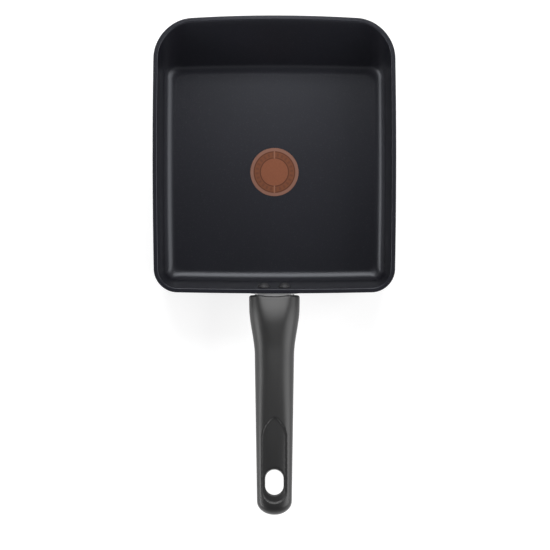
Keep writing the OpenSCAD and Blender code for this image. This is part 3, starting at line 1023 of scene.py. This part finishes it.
def rounded_ring(w, h, r, s):
    """A rectangle with round corners across the handle at the distance s."""
    ring = []
    for k, (x, z) in enumerate(((1, -1), (1, 1), (-1, 1), (-1, -1))):
        for a in steps(MOUTH_CORNER_STEPS, radians(90 * k - 90), radians(90 * k)):
            ring.append((x * (w / 2 - r) + r * cos(a), -s, z * (h / 2 - r) + r * sin(a)))
    return ring


def slot_ring(half_w, half_l, z):
    """A slot with round ends, at the height z."""
    ring = []
    for end in (1, -1):
        for a in steps(SLOT_STEPS, 0, pi):
            ring.append((end * half_w * cos(a), end * (half_l - half_w + half_w * sin(a)), z))
    return ring


def panel_half(s):
    """Half the panel's width: a pointed arch, straight sides and a round end."""
    half = PANEL_W / 2
    if s < PANEL_SPRING_S:
        return sqrt(max(0, PANEL_W**2 - (PANEL_SPRING_S - s) ** 2)) - half
    if s > PANEL_END_S - half:
        return sqrt(max(0, half**2 - (s - PANEL_END_S + half) ** 2))
    return half


def panel_rings():
    """The panel's cutter, whose floor follows the handle's crown."""
    apex = PANEL_SPRING_S - PANEL_W * sqrt(3) / 2
    round_from = PANEL_END_S - PANEL_W / 2
    stations = steps(ARCH_STEPS, apex + 0.02, PANEL_SPRING_S)
    stations += steps(PANEL_STEPS, PANEL_SPRING_S, round_from)[1:]
    stations += [round_from + PANEL_W / 2 * sin(a) for a in steps(PANEL_STEPS, 0, radians(88))][1:]
    rings = []
    for s in stations:
        half = max(PANEL_LEAST_HALF, panel_half(s))
        across = steps(PANEL_ACROSS_STEPS, -half, half)
        floor = [(x, -s, axis_z(s) + crown(s, x) - PANEL_D) for x in across]
        rings.append(floor + [(x, -s, PANEL_TOP) for x, _, _ in floor[::-1]])
    return rings


def tongue_rings():
    """The socket round the tongue."""
    g = SOCKET_GAP
    top = TONGUE_H / 2 + g
    rings = []
    for s in (CUT_FROM, TONGUE_WIDE_L + g, TONGUE_TAPER_L + g, TONGUE_L + g):
        taper = min(1, max(0, (s - TONGUE_WIDE_L - g) / (TONGUE_TAPER_L - TONGUE_WIDE_L)))
        half = TONGUE_ROOT_W / 2 + g + (TONGUE_W - TONGUE_ROOT_W) / 2 * taper
        drop = min(1, max(0, (s - TONGUE_WIDE_L) / (TONGUE_L - TONGUE_WIDE_L)))
        low = -top + (TONGUE_H - TONGUE_END_H) * drop
        rings.append(box_ring(half, low, top, s))
    return rings


def mouth_rings():
    """The opening for the flame guard."""
    around = 2 * (GUARD_GAP + GUARD_T + MOUTH_GAP)
    w = TONGUE_ROOT_W + around
    h = TONGUE_H + around
    r = GUARD_CORNER_R + MOUTH_GAP
    return [rounded_ring(w, h, r, s) for s in (CUT_FROM, GUARD_L + MOUTH_GAP)]


def bore_rings():
    """The bore for the screw and its washer, from below."""
    seat = axis_z(SCREW_AT) - belly(SCREW_AT) + SCREW_HEAD_H + WASHER_T
    bore_r = WASHER_D / 2 + BORE_GAP
    shank_r = SCREW_D / 2 + SCREW_GAP
    bore = lathe([(bore_r, CUT_BELOW), (bore_r, seat), (shank_r, seat), (shank_r, 0)])
    return shifted(bore, Matrix.Translation((0, -SCREW_AT, 0)))


def hole_rings():
    """The hang hole, square to the handle there, with bevels that run on past both faces."""
    place = Matrix.Translation((0, -HOLE_S, axis_z(HOLE_S))) @ Matrix.Rotation(-TAIL_SLOPE, 4, "X")
    top = crest(HOLE_S) - PANEL_D
    bottom = -belly(HOLE_S)
    b = HOLE_BEVEL
    past = b * OVERCUT
    levels = [(b + past, bottom - past), (0, bottom + b), (0, top - b), (b + past, top + past)]
    return shifted([slot_ring(HOLE_W / 2 + out, HOLE_L / 2 + out, z) for out, z in levels], place)


def end_rings():
    """The round cutter of the hollow end that faces the pan."""
    cylinder = lathe([(END_R, -ROOT_W), (END_R, ROOT_W)], END_STEPS)
    return shifted(cylinder, Matrix.Translation((0, END_R - END_GAP, 0)))


def shifted(rings, place):
    """Rings moved by a frame."""
    return [[tuple(place @ Vector(p)) for p in ring] for ring in rings]


def grip_cutters():
    """Everything that is taken out of the handle's plain skin, as rings in its frame."""
    return {
        "socket": tongue_rings(),
        "mouth": mouth_rings(),
        "screw_bore": bore_rings(),
        "hang_hole": hole_rings(),
        "panel": panel_rings(),
        "hollow_end": end_rings(),
    }


def tip_section(a):
    """A section of the round tip, whose turn a goes from its root to its end."""
    return grip_section(TAIL_S + TIP_L * sin(a), cos(a), (1 - sin(a) ** TIP_POWER) ** TIP_ROOT)


def build_grip(finish):
    """The moulded handle: its skin is cut, then remeshed so that every edge is softly rounded."""
    stations = steps(SKIN_STEPS, SKIN_FROM, FINE_FROM)
    stations += steps(FINE_STEPS, FINE_FROM, FINE_TO)[1:]
    stations += steps(SHAFT_STEPS, FINE_TO, TAIL_S)[1:]
    rings = [grip_section(s) for s in stations]
    rings += [tip_section(radians(a)) for a in steps(TIP_STEPS, 6, 87)]
    piece = add_piece("phenolic_grip", skin(rings))
    cutters = [add_piece(name, skin(cut)) for name, cut in grip_cutters().items()]
    for cutter in cutters:
        modify(piece, "BOOLEAN", operation="DIFFERENCE", object=cutter, solver="EXACT")
    modify(piece, "REMESH", mode="VOXEL", voxel_size=VOXEL * MM, use_smooth_shade=True)
    modify(piece, "SMOOTH", factor=SMOOTHING, iterations=SMOOTH_ROUNDS)
    settle(piece)
    for cutter in cutters:
        bpy.data.objects.remove(cutter)
    piece.data.transform(to_metres(HANDLE_FRAME))
    piece.data.materials.clear()
    piece.data.materials.append(finish)
    piece.data.shade_smooth()
    return piece


def to_metres(place):
    """A frame given in millimetres, for a mesh that is already in metres."""
    moved = place.copy()
    moved.translation *= MM
    return moved


def hang_lamp(lamp, place, aim):
    """Puts a lamp at a place and turns it to its aim."""
    light = bpy.data.objects.new(lamp.name, lamp)
    light.location = place
    light.rotation_euler = (Vector(aim) - Vector(place)).to_track_quat("-Z", "Y").to_euler()
    bpy.context.scene.collection.objects.link(light)


def soft_box(name, place, size, radiance):
    """A rectangular studio light, by the brightness of its face."""
    lamp = bpy.data.lights.new(name, "AREA")
    lamp.shape = "RECTANGLE"
    lamp.size, lamp.size_y = size
    lamp.energy = radiance * pi * size[0] * size[1]
    hang_lamp(lamp, place, BOXES_AIM)


def floor_spot():
    """A snooted lamp that makes a soft pool of light on the floor."""
    lamp = bpy.data.lights.new("floor_spot", "SPOT")
    lamp.energy = SPOT_LAMP_POWER
    lamp.spot_size = SPOT_LAMP_CONE
    lamp.spot_blend = 1
    lamp.shadow_soft_size = SPOT_LAMP_RADIUS
    hang_lamp(lamp, SPOT_LAMP_PLACE, SPOT_LAMP_AIM)


def build_world():
    """A pale horizon under a dark ceiling."""
    world = bpy.data.worlds.new("studio")
    bpy.context.scene.world = world
    world.use_nodes = True
    sky = Nodes(world.node_tree)
    direction = sky.node("ShaderNodeTexCoord", out="Generated")
    up = sky.node("ShaderNodeSeparateXYZ", inputs={0: direction}, out="Z")
    settings = {"stops": [(HORIZON_UP, HORIZON), (CEILING_UP, CEILING)]}
    colour = sky.node("ShaderNodeValToRGB", settings, {"Fac": up})
    sky.feed(sky.tree.nodes["Background"].inputs["Color"], colour)


def build_floor():
    """A floor that the eye and reflections see as white, and that keeps the pan's shadow."""
    finish = Finish("white_floor", base_color=grey(FLOOR_GREY), roughness=1.0, specular_ior_level=0.0)
    seen = finish.node("ShaderNodeLightPath", out="Is Camera Ray")
    mirrored = finish.node("ShaderNodeLightPath", out="Is Glossy Ray")
    refracted = finish.node("ShaderNodeLightPath", out="Is Transmission Ray")
    finish.vary("Emission Color", finish.blend(seen + mirrored + refracted, grey(0), grey(1)))
    finish.vary("Emission Strength", FLOOR_WHITE)
    bm = bmesh.new()
    bmesh.ops.create_grid(bm, x_segments=1, y_segments=1, size=FLOOR_HALF)
    bmesh.ops.translate(bm, verts=bm.verts, vec=(0, 0, -FLOOR_DROP))
    floor = add_piece("studio_floor", bm, finish.material)


def build_camera():
    """The photograph's view: straight down, with the handle towards the bottom."""
    data = bpy.data.cameras.new("above")
    data.sensor_width = SENSOR
    data.lens = SENSOR * CAMERA_ABOVE_RIM / (RIM_MM_PER_PIXEL * PHOTO_PIXELS)
    camera = bpy.data.objects.new("above", data)
    camera.location = Vector((CAMERA_RIGHT, NEAR_Y + CAMERA_INSIDE_RIM, PAN_H + CAMERA_ABOVE_RIM)) * MM
    bpy.context.scene.collection.objects.link(camera)
    bpy.context.scene.camera = camera


def coat_node(node, finish):
    """Gives a CAD node a finish of its own."""
    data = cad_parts[node].data
    data.materials.clear()
    data.materials.append(finish)


zinc = zinc_finish()
spot_print = print_finish((0, SPOT_Y, FLOOR_T))

carry(build_pan(coating_finish()), "pan_coating", "pan_body")
carry(build_indicator(spot_print), "indicator", "heat_indicator")
carry(build_rivets(rivet_finish()), "rivets", "rivet_left", "rivet_right")

bracket = softened("bracket", "handle_bracket", BRACKET_EDGE, painted_steel_finish())
carry(bracket, "bracket", "handle_bracket")
guard = softened("guard", "flame_guard", GUARD_EDGE, stainless_finish())
carry(guard, "guard", "flame_guard")

carry(build_grip(phenolic_finish()), "handle", "grip")
screw = softened("screw", "grip_screw", SCREW_EDGE, zinc)
carry(screw, "fasteners", "grip_screw")
coat_node("screw_washer", zinc)
coat_node("tongue_nut", zinc)

build_floor()
for name, (place, size, radiance) in SOFT_BOXES.items():
    soft_box(name, place, size, radiance)
floor_spot()
build_world()
build_camera()
bpy.context.scene.view_settings.view_transform = "Standard"
